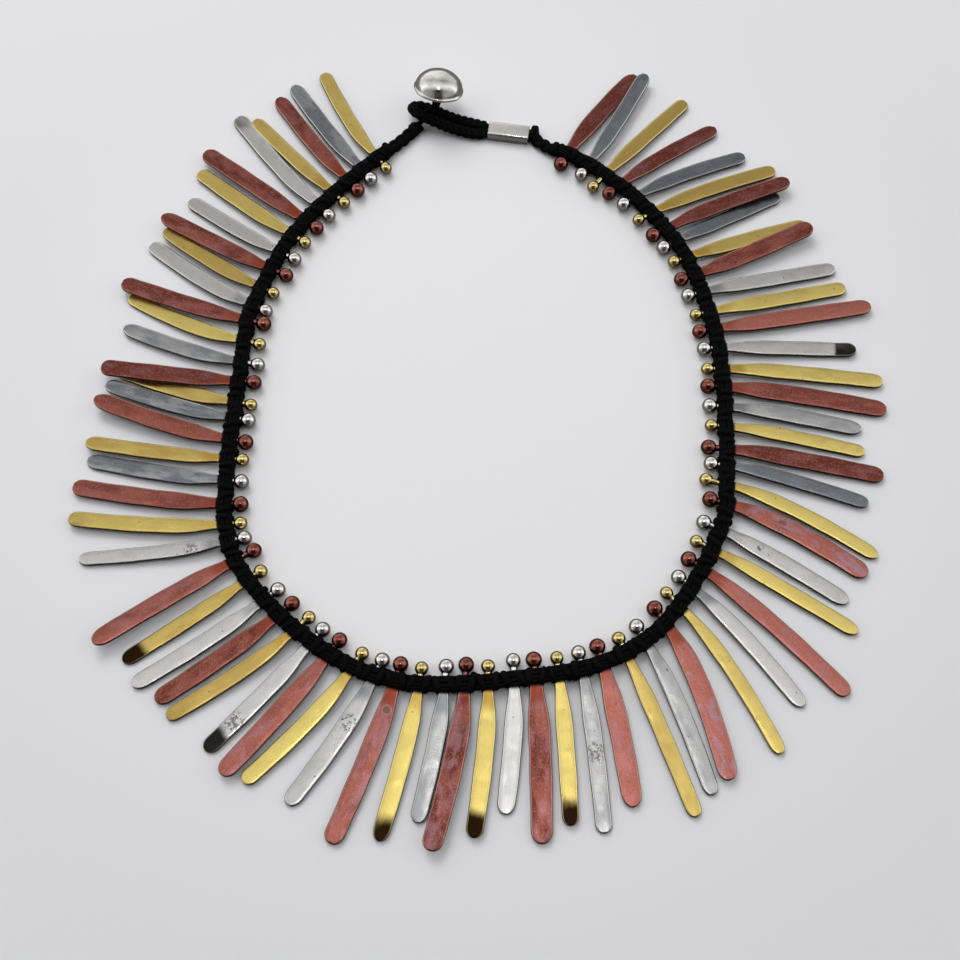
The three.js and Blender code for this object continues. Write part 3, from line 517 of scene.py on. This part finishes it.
def bladePart(row, metal, marks, seed, luck):
    # Centre line: a quadratic Bezier from the braid's edge down to the tip. Section: a flat strip with half-round
    # sides, whose half-width eases out from the root and closes as an ellipse at the tip
    look = stickShape
    _, swing, reach, breadth, level, _ = row
    reach = reach * look["reach"]
    lean, swing = math.radians(swing / 2), math.radians(swing)
    start, neckHeight = look["start"], braid["neckHeight"]
    tipHeight = look["thickness"] / 2 + level * look["stackStep"] + look["offTable"]
    bend = start + (reach - start) * look["bendAt"]

    def polar(radius, angle, height):
        return np.array([radius * math.cos(angle), radius * math.sin(angle), height])

    root, knee = polar(start, lean, neckHeight), polar(bend, lean, (neckHeight + tipHeight) / 2)
    t = np.linspace(0, 1, 200)[:, None]
    line = (1 - t) ** 2 * root + 2 * t * (1 - t) * knee + t ** 2 * polar(reach, swing, tipHeight)
    run = np.concatenate([[0], np.cumsum(np.linalg.norm(np.diff(line, axis=0), axis=1))])
    length = run[-1]

    share = 1 - (1 - np.linspace(0, 1, look["rows"])) ** look["rowCrowding"]   # rows close up towards the tip
    distance = -look["tuck"] + (length + look["tuck"]) * share
    centres = np.stack([np.interp(distance, run, line[:, k]) for k in range(3)], -1)
    centres += np.minimum(distance, 0)[:, None] * unit(knee - root)
    if "crease" in marks:   # a ridge where the blade was bent: straight up to it, easing away beyond it
        crease = marks["crease"]
        rise = np.clip(distance / crease, 0, 1) * (1 - smoothStep(crease, crease + look["creaseFade"], distance))
        centres[:, 2] += look["creaseRise"] * rise
    if "facet" in marks:   # the tip is bent up
        centres[:, 2] += look["facetSlope"] * np.clip(distance - (length - marks["facet"]), 0, None)
    travel = unit(np.gradient(centres, axis=0))
    across = unit(np.cross(up, travel))
    over = np.cross(travel, across)

    half = breadth * metal[2] / 2
    width = half * np.interp(distance / length, look["at"], look["width"])
    width = np.convolve(np.pad(width, 2, mode="edge"), [0.1, 0.2, 0.4, 0.2, 0.1], "valid")   # rounds the table off
    tipLength = half * (look["tipLength"] + look["tipLengthVaries"] * luck[0])
    fromTip = np.clip((distance - (length - tipLength)) / tipLength, 0, 1)
    squareness = look["tipSquareness"] + look["tipSquarenessVaries"] * luck[1]
    width = width * (1 - fromTip ** squareness) ** 0.5
    width = width * (1 + look["wave"] * np.sin(distance * 0.55 + 6 * luck[2])) + 1e-3
    thick = look["thickness"] / 2 * np.interp(distance, look["thickAt"], look["thick"])
    radius = np.minimum(thick, width)

    side = np.linspace(-90, 90, 7)
    flat = np.linspace(1, -1, 8)[1:-1]
    turn = np.radians(np.concatenate([side, np.full(6, 90), side + 180, np.full(6, 270)]))
    stretch = np.concatenate([np.ones(7), flat, -np.ones(7), -flat])
    a = stretch * (width - radius)[:, None] + np.cos(turn) * radius[:, None]
    b = np.sin(turn) * radius[:, None]
    crown = look["crown"] * (1 - (a / width[:, None]) ** 2) * np.sign(b)
    b = b + crown * np.minimum(1, width / half)[:, None]
    points = centres[:, None] + a[..., None] * across[:, None] + b[..., None] * over[:, None]

    along = np.broadcast_to(distance[:, None], a.shape)
    spread = np.ones_like(a)
    fromEnd = length - along
    burntAndShade = marks.get("tip", 0.12 * luck[3]) * smoothStep(*look["burntWithin"], fromEnd)
    # a bent-up facet is darkened instead, a painted shade
    if "facet" in marks:
        burntAndShade = look["facetPaintedShade"] * smoothStep(marks["facet"] + 0.4, marks["facet"], fromEnd)
    darkened = marks.get("root", 0.25 + 0.5 * luck[4]) * (1 - smoothStep(*look["rootWithin"], along))
    rimWidth = np.clip(np.abs(a) - (width - radius)[:, None], 0, None) / radius[:, None]
    stain = marks.get("stain", (-900, 0, 1))
    return gridPart(
        points,
        place=np.stack([along, a, spread * seed * look["patternStep"]], -1),
        patina=np.stack([burntAndShade, darkened, smoothStep(*look["rubbedRimAndHighlight"], rimWidth)], -1),
        mark=np.stack([along - stain[0], a - stain[1], spread * stain[2]], -1),
        tone=np.stack([spread * dullnessAndShade[seed - 1] / 10, spread * 0,
                       spread * bloomOn.get(seed, 0.05 + 0.2 * luck[6])], -1),
        # the second value is a painted shade: a dark outline on the outer edge of the rounded side
        wear=np.stack([spread * marks.get("ringed", 0), smoothStep(*look["paintedEdgeShade"], rimWidth), spread * 0], -1),
    )


def headPart(row, metal, seed, luck):
    # A ball turned round the neck's line: the radius is the sphere's, and beyond its middle the sixth root of the
    # sum of the sphere's and the neck's sixth powers, so that they run into each other
    look = stickShape
    lean = math.radians(row[1] / 2)
    ballRadius, neckRadius, rubbed = metal[1], look["neckRadius"], metal[4]
    ballReach = braid["width"] / 2 + ballRadius + row[5] - look["ballSeat"]
    cap = -np.cos(np.linspace(0, np.pi, look["ballRings"])) * ballRadius
    neck = np.linspace(ballRadius, ballReach + look["neckPast"], 6)[1:]
    x = np.concatenate([cap[:-1], [ballRadius * 0.99], neck])
    sphere = np.sqrt(np.clip(ballRadius ** 2 - x ** 2, 0, None))
    flared = neckRadius * (1 + look["neckFlare"] * np.exp(-np.clip(x - ballRadius * 0.8, 0, None) * 1.6))
    radius = np.where(x > 0, (sphere ** 6 + flared ** 6) ** (1 / 6), sphere)
    radius = np.maximum(radius, 0.02)
    outward = np.array([math.cos(lean), math.sin(lean), 0])
    level = np.array([-math.sin(lean), math.cos(lean), 0])
    turn = turns(look["ballSides"])
    squash = 1 + (luck[7] - 0.5) * 0.1
    ring = (np.cos(turn) * squash)[:, None] * level + np.sin(turn)[:, None] * up
    origin = -ballReach * outward + np.array([0, 0, braid["neckHeight"]])
    points = origin + x[:, None, None] * outward + radius[:, None, None] * ring
    spread = np.ones(points.shape[:2])
    return gridPart(
        points,
        place=np.stack([np.broadcast_to(x[:, None], spread.shape) - 9, radius[:, None] * np.cos(turn),
                        seed * look["patternStep"] + radius[:, None] * np.sin(turn)], -1),
        patina=np.stack([spread * 0, spread * 0, spread * rubbed], -1),
        mark=np.stack([spread * 900, spread * 0, spread], -1),
        tone=np.stack([spread * look["ballDull"] * (1 - rubbed), spread, spread * 0], -1),
        wear=np.zeros(points.shape),
    )


def inPlace(part, point, outward):   # from the stick's frame to the braid's
    onward = np.cross(up, outward)
    x, y, z = part["points"].T
    part["points"] = point + x[:, None] * outward + y[:, None] * onward + z[:, None] * up
    return part


stickPoints, _, stickOutward, _ = placesOn(route, stickDistances)
for index, row in enumerate(fringe):
    metal = stickShape["metals"][index % 3]
    number = index + 1
    luck = randomStick.random(8)
    parts = [bladePart(row, metal, stickMarks.get(number, {}), number, luck), headPart(row, metal, number, luck)]
    parts = [inPlace(part, stickPoints[index], stickOutward[index]) for part in parts]
    node = f"{metal[0]}_stick_{number:02d}"
    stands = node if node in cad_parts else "braid_left" if index < middleStick else "braid_right"
    buildPiece(f"{node}_worn", parts, metal[3], [stands])
print(f"{len(fringe)} sticks made")

# The cord's wraps and strands: radii, reaches from the braid's middle, slants and how much each varies, in mm
wraps = {
    "at": [0.31, 0.69], "rings": 26, "sides": 10, "radius": 0.92, "reach": 2.22, "top": 1.94, "lean": [0.5, -0.4],
    "radiusVaries": 0.08, "reachVaries": 0.17, "topVaries": 0.1, "leanVaries": 0.25, "seed": 5,
}
strands = {
    "step": 0.42, "sides": 8, "sway": 0.07, "clear": 0.02,
    # Across from the middle, low level, rise over a neck, radius
    "pairs": [(0.5, 0.3, 0.6, 0.56), (1.3, 0.4, 0.35, 0.5)],
}
binding = {"at": [0.75, 2.15], "lean": [0.35, -0.3], "halfWidth": 1.3, "halfHeight": 0.66, "height": 1.42,
           "radius": 0.72}
filler = {"halfWidth": 1.3, "halfHeight": 1.15, "step": 1.4, "sides": 10}
tailBraid = {"radius": 0.92, "spread": 0.9, "depth": 0.42, "pitch": 8}
plaitStep = 0.45
randomCord = np.random.default_rng(wraps["seed"])


def knotWraps(first, last):
    # Closed loops round the braid between the sticks, two to a gap, crossing it at a slant. Each loop:
    # across = A cos t, up = B sin t, both squared a little at the corners, and along = its place + a lean cos t
    places = waists[first:last, None] + np.diff(waists[first:last + 1])[:, None] * np.array(wraps["at"])
    count = len(places)
    flip = np.where(np.arange(count) % 2, 1, -1)[:, None]
    t = turns(wraps["rings"])
    radius = wraps["radius"] + wraps["radiusVaries"] * randomCord.standard_normal((count, 2))
    reachOut = wraps["reach"] + wraps["reachVaries"] * randomCord.standard_normal((count, 2))
    reachIn = wraps["reach"] + wraps["reachVaries"] * randomCord.standard_normal((count, 2))
    reachUp = wraps["top"] - wraps["topVaries"] * randomCord.random((count, 2))
    lean = flip * (np.array(wraps["lean"]) + wraps["leanVaries"] * randomCord.standard_normal((count, 2)))
    reach = np.where(np.cos(t) > 0, reachOut[..., None], reachIn[..., None])
    a = (reach - radius[..., None]) * squared(np.cos(t), 0.8)
    b = (reachUp - radius)[..., None] * squared(np.sin(t), 0.9)
    c = lean[..., None] * np.cos(t)
    point, travel, right, _ = placesOn(route, places)
    centres = point[..., None, :] + a[..., None] * right[..., None, :] + c[..., None] * travel[..., None, :]
    centres = centres + (b + braid["height"] / 2)[..., None] * up
    guide = np.broadcast_to(travel[..., None, :], centres.shape)
    grid = tubeAround(centres, guide, radius[..., None], wraps["sides"], closed=True)
    return gridPart(grid, closed=True, run=np.linspace(0, 11, len(t) + 1))


def carriers(start, end):
    # Eight strands along the braid, four over every neck and four under it, which dip between the sticks:
    # height = a low level + a rise * cos^2 of the phase, across = an offset swayed by a sine
    distance = np.linspace(start, end, int((end - start) / strands["step"]))
    phase = np.pi * np.interp(distance, waists, np.arange(len(waists)))
    crest = np.cos(phase) ** 2
    point, _, right, _ = placesOn(route, distance)
    parts = []
    for offset, low, rise, radius in strands["pairs"]:
        for side, level in ((-1, 1), (-1, -1), (1, 1), (1, -1)):
            a = side * (offset + 0.05 * crest) + strands["sway"] * np.sin(phase * 0.73 + 2 * side + level)
            b = braid["neckHeight"] + level * (low + rise * crest)
            inset = radius + strands["clear"]
            b = np.clip(b, inset, braid["height"] - inset)
            centres = point + a[:, None] * right + b[:, None] * up
            grid = tubeAround(centres, np.broadcast_to(up, centres.shape), radius, strands["sides"])
            parts.append(gridPart(grid, run=distance))
    return parts


def tailBinding():
    # Two turns round the tail where the loop passes over it: across = A cos t, up = B sin t, along = a lean cos t
    t = turns(26)
    point, travel, right, _ = placesOn(route, np.array([binding["at"]]))
    lean = np.array([binding["lean"]])[..., None]
    centres = point[..., None, :] + (binding["halfWidth"] * np.cos(t))[:, None] * right[..., None, :]
    centres = centres + (lean * np.cos(t))[..., None] * travel[..., None, :]
    centres = centres + (binding["height"] + binding["halfHeight"] * np.sin(t))[:, None] * up
    guide = np.broadcast_to(travel[..., None, :], centres.shape)
    grid = tubeAround(centres, guide, binding["radius"], 10, closed=True)
    return gridPart(grid, closed=True, run=np.linspace(0, 9, len(t) + 1))


def heart(start, end):
    # The filler cords in the middle, an oval tube that closes the gaps between strands
    distance = np.linspace(start, end, int((end - start) / filler["step"]))
    point, _, right, _ = placesOn(route, distance)
    turn = turns(filler["sides"])
    ring = filler["halfWidth"] * np.cos(turn)[:, None] * right[:, None]
    ring = ring + filler["halfHeight"] * np.sin(turn)[:, None] * up
    grid = (point + braid["height"] / 2 * up)[:, None] + ring
    return gridPart(grid[:, ::-1], run=distance)


def plaited(path, start, end, look, height=0, squeeze=None):
    # Three strands plaited: across = A sin angle, up = B sin twice the angle, a third of a turn apart
    distance = np.linspace(start, end, max(12, int((end - start) / plaitStep)))
    point, _, right, over = placesOn(path, distance)
    shrink = np.ones_like(distance) if squeeze is None else squeeze(distance)
    parts = []
    for strand in range(3):
        angle = 2 * np.pi * (distance / look["pitch"] + strand / 3)
        a = look["spread"] * np.sin(angle) * shrink
        b = look["depth"] * np.sin(2 * angle) * shrink
        centres = point + a[:, None] * right + b[:, None] * over + height * up
        grid = tubeAround(centres, over, look["radius"] * shrink, 10)
        parts.append(gridPart(grid, run=distance))
    return parts


fringeStart = stickDistances[0] - pitch * 0.75
fringeEnd = stickDistances[-1] + pitch * 0.75
tailOverlap = 1.2   # how far each tail runs in under the first wraps
tailMiddle = braid["tailHeight"] / 2 + strands["clear"]
leftParts = [knotWraps(0, middleStick + 1), heart(fringeStart, halfway), *carriers(fringeStart, halfway)]
leftParts += plaited(route, 0, fringeStart + tailOverlap, tailBraid, height=tailMiddle)
leftParts.append(tailBinding())
rightParts = [knotWraps(middleStick + 1, len(waists) - 1), heart(halfway, fringeEnd)]
rightParts += carriers(halfway, fringeEnd)
rightParts += plaited(route, fringeEnd - tailOverlap, routeLength, tailBraid, height=tailMiddle)

clasp = {
    "buttonCentre": [-11.4, 111.6, 8.8], "tilt": 25, "turn": -20, "radius": 6.9, "dome": 5.6, "rim": 0.9,
    "link": 1.65, "shankSeat": 0.1, "eyeletCord": 0.85,
    "neckRoute": [[-17.6, 104.8, 1.35], [-15.9, 107.1, 1.9], [-14.7, 108.4, 3.5], [-13.4, 108.8, 4.9]],
    "loopRoute": [
        [3.6, 104.2, 1.45], [0.4, 105.3, 1.5], [-7, 107.6, 1.5], [-13.6, 110.8, 1.5], [-16.9, 111.5, 1.9],
        [-18.5, 110.1, 3.3], [-18, 107.9, 4.6], [-15.6, 106.1, 4.7], [-8, 104, 2.3], [-1, 102.6, 1.5],
        [1.6, 102.9, 1.45], [3.4, 102.8, 1.45],
    ],
    "cuff": [11.2, 4.8, 2.9], "wall": 0.4, "cuffTurn": -8, "cuffCorner": 0.9, "cuffInnerCorner": 0.35, "lip": 0.16,
    "roll": 0.45, "hollow": 0.5, "ripple": 0.012, "ripples": 7, "shankWire": 0.45, "buttonSides": 64,
}
stopper = {"at": [0.62, 1.85], "lean": [0.25, -0.3], "halfWidth": 1.95, "halfHeight": 0.78, "aside": 0.7,
           "fromCuff": 0.3, "radius": 0.64}
stub = {"halfWidth": 1.68, "halfHeight": 0.74, "squareness": 0.6, "inside": 4}
turnBack, tiltBack = math.radians(clasp["turn"]), math.radians(clasp["tilt"])
buttonAxis = np.array([-math.sin(turnBack) * math.sin(tiltBack), math.cos(turnBack) * math.sin(tiltBack),
                       math.cos(tiltBack)])
buttonSide = unit(np.cross(buttonAxis, up))
buttonForward = np.cross(buttonAxis, buttonSide)
buttonCentre = np.array(clasp["buttonCentre"])
shankDrop = clasp["link"] - clasp["shankSeat"]
eyeletCentre = buttonCentre - buttonAxis * (shankDrop + clasp["link"])


def ringPart(centre, first, second, ringRadius, wireRadius, rows, columns):
    # A torus: the tube's centre runs round a circle spanned by first and second
    t = turns(rows)
    spoke = np.cos(t)[:, None] * first + np.sin(t)[:, None] * second
    grid = tubeAround(centre + ringRadius * spoke, np.broadcast_to(np.cross(first, second), spoke.shape),
                      wireRadius, columns, closed=True)
    return gridPart(grid, closed=True, run=np.linspace(0, 2 * np.pi * ringRadius, rows + 1))


under = unit(buttonAxis + buttonForward)
join = eyeletCentre - clasp["link"] * under
neckRoute = smoothRoute(clasp["neckRoute"] + [list(join)], 40)
neckLook = {"radius": 0.5, "spread": 0.32, "depth": 0.2, "pitch": 3.4}
leftParts += plaited(neckRoute, 0, neckRoute[0][-1], neckLook)
leftParts.append(ringPart(eyeletCentre, buttonAxis, buttonForward, clasp["link"], clasp["eyeletCord"], 26, 12))
buildPiece("braid_left_knotted", leftParts, cordBlack, ["braid_left"])

cuffTurn = math.radians(clasp["cuffTurn"])
cuffAlong = np.array([math.cos(cuffTurn), math.sin(cuffTurn), 0])
cuffAcross = np.array([-math.sin(cuffTurn), math.cos(cuffTurn), 0])


def stopperKnot():
    # Two turns of cord round the braid's end beside the cuff: ovals leaning against each other
    parts = []
    t = turns(30)
    for place, lean in zip(stopper["at"], stopper["lean"]):
        a = stopper["aside"] + stopper["halfWidth"] * np.cos(t)
        b = stopper["halfHeight"] * np.sin(t)
        c = clasp["cuff"][0] / 2 + stopper["fromCuff"] + place + lean * np.cos(t)
        centres = cuffPlace + c[:, None] * cuffAlong + a[:, None] * cuffAcross + b[:, None] * up
        guide = np.broadcast_to(cuffAlong, centres.shape)
        grid = tubeAround(centres, guide, stopper["radius"], 12, closed=True)
        parts.append(gridPart(grid, closed=True, run=np.linspace(0, 10, len(t) + 1)))
    return parts


def cuffStub(side, outside):
    # The flattened end of a cord that goes into the cuff: a rounded bar whose section is a squared oval
    opening, inside = clasp["cuff"][0] / 2, stub["inside"]
    x = side * np.linspace(opening - inside, opening + outside, 10)
    turn = turns(16)
    wide = stub["halfWidth"] * squared(np.cos(turn), stub["squareness"])
    tall = stub["halfHeight"] * squared(np.sin(turn), stub["squareness"])
    ring = wide[:, None] * cuffAcross * side + tall[:, None] * up
    grid = cuffPlace + x[:, None, None] * cuffAlong + ring
    return gridPart(grid, run=np.linspace(0, inside + outside, 10))


rightParts += stopperKnot() + [cuffStub(side=1, outside=1.9)]
buildPiece("braid_right_knotted", rightParts, cordBlack, ["braid_right"])

loopRoute = smoothRoute(clasp["loopRoute"], 60)
loopLength = loopRoute[0][-1]
loopLook = {"radius": 0.88, "spread": 0.74, "depth": 0.4, "pitch": 5.6}
mouth = {"least": 0.74, "reach": 1.6, "perMm": 0.25}   # how thin the cord is at the mouth, and how it grows


def mouthSqueeze(distance):   # the cord is drawn in where it enters the cuff
    fromEnd = np.minimum(distance, loopLength - distance)
    return np.clip(mouth["least"] + (fromEnd - mouth["reach"]) * mouth["perMm"], mouth["least"], 1)


loopParts = plaited(loopRoute, 0, loopLength, loopLook, squeeze=mouthSqueeze)
loopParts.append(cuffStub(side=-1, outside=1.7))
buildPiece("closing_loop_plaited", loopParts, cordBlack, ["closing_loop"])


def buttonParts():
    # A dome turned about the button's axis, dished below, its rim rolled and slightly wavy, with a wire shank
    angle = np.linspace(0, np.pi / 2, 22)
    domeRadius = (clasp["radius"] - 0.35) * np.cos(angle)
    domeHeight = clasp["rim"] + (clasp["dome"] - clasp["rim"]) * np.sin(angle)
    rimTurn = np.linspace(-np.pi / 2, np.pi / 2.4, 8)
    roll = clasp["roll"]
    rimRadius = clasp["radius"] - roll + roll * np.cos(rimTurn)
    rimHeight = roll + roll * np.sin(rimTurn)
    below = np.linspace(0.05, clasp["radius"] - roll - 0.3, 9)
    belowHeight = 0.02 + clasp["hollow"] * (1 - (below / (clasp["radius"] - roll - 0.15)) ** 2)
    radius = np.concatenate([below, rimRadius, domeRadius[1:-1], [0.03]])
    height = np.concatenate([belowHeight, rimHeight, domeHeight[1:-1], [clasp["dome"]]])
    turn = turns(clasp["buttonSides"])
    wave = clasp["ripple"] * (1 + np.sin(clasp["ripples"] * turn + 1))
    wave = 1 - wave * smoothStep(0.5, 1, radius / clasp["radius"])[:, None]
    ring = np.cos(turn)[:, None] * buttonSide + np.sin(turn)[:, None] * buttonForward
    grid = buttonCentre + height[:, None, None] * buttonAxis + (radius[:, None] * wave)[..., None] * ring
    shankCentre = buttonCentre - shankDrop * buttonAxis
    shank = ringPart(shankCentre, buttonSide, buttonAxis, clasp["link"], clasp["shankWire"], 28, 12)
    shank.pop("strand")
    return [gridPart(grid), shank]


buildPiece("button_polished", buttonParts(), buttonSilver, ["button"])


def cuffSleeve():
    # A flattened tube: the section is a rounded rectangle, and the wall turns over a small radius at both ends
    length, width, height = clasp["cuff"]
    lip = np.radians(np.linspace(0, 90, 5))
    outerX = length / 2 - clasp["lip"] * (1 - np.sin(lip))
    outerInset = clasp["lip"] * (1 - np.cos(lip))
    x = np.concatenate([-outerX[::-1], outerX, outerX[::-1], -outerX])
    inset = np.concatenate([outerInset[::-1], outerInset, clasp["wall"] - outerInset[::-1],
                            clasp["wall"] - outerInset])[:, None]
    corner = np.maximum(clasp["cuffCorner"] - inset, clasp["cuffInnerCorner"])
    quarter = np.radians(np.linspace(0, 90, 7))
    wide, tall = [], []
    for step, (right, top) in enumerate(((1, 1), (-1, 1), (-1, -1), (1, -1))):
        angle = quarter + step * np.pi / 2
        wide.append(right * (width / 2 - inset - corner) + corner * np.cos(angle))
        tall.append(top * (height / 2 - inset - corner) + corner * np.sin(angle))
    wide, tall = np.concatenate(wide, 1), np.concatenate(tall, 1)
    grid = cuffPlace + x[:, None, None] * cuffAlong + wide[..., None] * cuffAcross + tall[..., None] * up
    return gridPart(grid, closed=True)


buildPiece("cuff_crimped", [cuffSleeve()], cuffSilver, ["cuff"])
print("braid and clasp made")


def paleTable():
    # Matte white card with a faint tooth, painted darker away from its middle as a painted shade of the light's
    # fall-off; in reflections on the metal the card is painted dark grey, a painted reflection
    material, tree = newMaterial("pale_card")
    place = addNode(tree, "TexCoord").outputs["Object"]
    tooth = addNode(tree, "TexNoise", {"Vector": place, "Scale": 1500, "Detail": 3})
    shade = addNode(tree, "Mix", {0: tooth, 6: colour("#ececed"), 7: colour("#f0f0f1")}, **mixColour)
    away = addNode(tree, "VectorMath", {0: place}, operation="LENGTH")
    # painted shade: darker away from the middle
    edge = addNode(tree, "MapRange", {"Value": away.outputs["Value"], "From Min": 0.06, "From Max": 0.15}, **smooth)
    shade = addNode(tree, "Mix", {0: edge, 6: shade.outputs[2], 7: colour("#e5e5e6")}, **mixColour)
    # painted reflection: mirrored rays see the card dark grey
    mirrored = addNode(tree, "LightPath")
    shade = addNode(tree, "Mix", {0: mirrored.outputs["Is Glossy Ray"], 6: shade.outputs[2], 7: colour("#6f6e6c")},
                    **mixColour)
    shader = addNode(tree, "BsdfPrincipled", {"Base Color": shade.outputs[2], "Roughness": 0.75,
                                              "Specular IOR Level": 0.25})
    addNode(tree, "OutputMaterial", {"Surface": shader})
    return material


tableMesh = bpy.data.meshes.new("table")
tableMesh.from_pydata([(-3, -3, 0), (3, -3, 0), (3, 3, 0), (-3, 3, 0)], [], [(0, 1, 2, 3)])
tableMesh.materials.append(paleTable())
floor = bpy.data.objects.new("table", tableMesh)
bpy.context.scene.collection.objects.link(floor)

light = {"place": (-0.22, 0.55, 0.7), "size": 0.5, "watts": 3.5, "sky": 1.0, "lamp": 5.0}

# A soft lamp from the far left gives the shadows; the metal mirrors the tent alone
softbox = bpy.data.lights.new("softbox", "AREA")
softbox.shape = "SQUARE"
softbox.size = light["size"]
softbox.energy = light["watts"]
softboxObject = bpy.data.objects.new("softbox", softbox)
softboxObject.location = light["place"]
softboxObject.rotation_euler = Vector(light["place"]).to_track_quat("Z", "Y").to_euler()
softboxObject.visible_glossy = False
bpy.context.scene.collection.objects.link(softboxObject)

# The tent round the table, by depth from the side nearest the lens to the far side: dark near the lens, brightest
# overhead, dim towards the far top and bright again low at the back, with pale walls at the sides, a lamp close to
# straight above and a dark opening where the lens looks in
world = bpy.data.worlds.new("tent")
world.use_nodes = True
bpy.context.scene.world = world
tree = world.node_tree
tree.nodes.clear()
direction = addNode(tree, "TexCoord").outputs["Generated"]
axes = addNode(tree, "SeparateXYZ", {0: direction}).outputs
depth = addNode(tree, "MapRange", {"Value": axes[1], "From Min": -1, "From Max": 1})
tent = addNode(tree, "ValToRGB", {0: depth}, stops=[
    (0.0, grey(0.04)), (0.32, grey(0.08)), (0.44, grey(0.6)), (0.55, grey(0.97)), (0.64, grey(0.72)),
    (0.74, grey(0.52)), (0.82, grey(0.44)), (0.9, grey(0.8)), (1.0, grey(1.1))])
rightSide = addNode(tree, "MapRange", {"Value": axes[0], "From Min": 0, "From Max": 0.25}, **smooth)
farTop = addNode(tree, "MapRange", {"Value": axes[1], "From Min": 0.38, "From Max": 0.6,
                                    "To Min": 0, "To Max": 0.35}, **smooth)
corner = addNode(tree, "Math", {0: rightSide, 1: farTop}, **multiply)
corner = addNode(tree, "Math", {0: 1.0, 1: corner}, operation="SUBTRACT")
sideways = addNode(tree, "Math", {0: axes[0]}, operation="ABSOLUTE")
walls = addNode(tree, "MapRange", {"Value": sideways, "From Min": 0.4, "From Max": 0.75,
                                   "To Min": 0, "To Max": 0.3}, **smooth)
toLamp = addNode(tree, "VectorMath", {0: direction, 1: Vector((0.03, -0.1, 1)).normalized()}, operation="DOT_PRODUCT")
lamp = addNode(tree, "MapRange", {"Value": toLamp.outputs["Value"], "From Min": 0.992, "From Max": 0.9965,
                                  "To Min": 0, "To Max": light["lamp"]}, **smooth)
toLens = addNode(tree, "VectorMath", {0: direction, 1: Vector((0, -0.43, 0.9)).normalized()},
                 operation="DOT_PRODUCT")
opening = addNode(tree, "MapRange", {"Value": toLens.outputs["Value"], "From Min": 0.95, "From Max": 0.985,
                                     "To Min": 1, "To Max": 0.15}, **smooth)
strength = addNode(tree, "Math", {0: tent, 1: corner, 2: walls}, **multiplyAdd)
strength = addNode(tree, "Math", {0: strength, 1: opening, 2: lamp}, **multiplyAdd)
strength = addNode(tree, "Math", {0: strength, 1: light["sky"]}, **multiply)
background = addNode(tree, "Background", {0: colour("#fdfdff"), 1: strength})
addNode(tree, "OutputWorld", {0: background})
bpy.context.scene.view_settings.view_transform = "Standard"
print("table and light set")
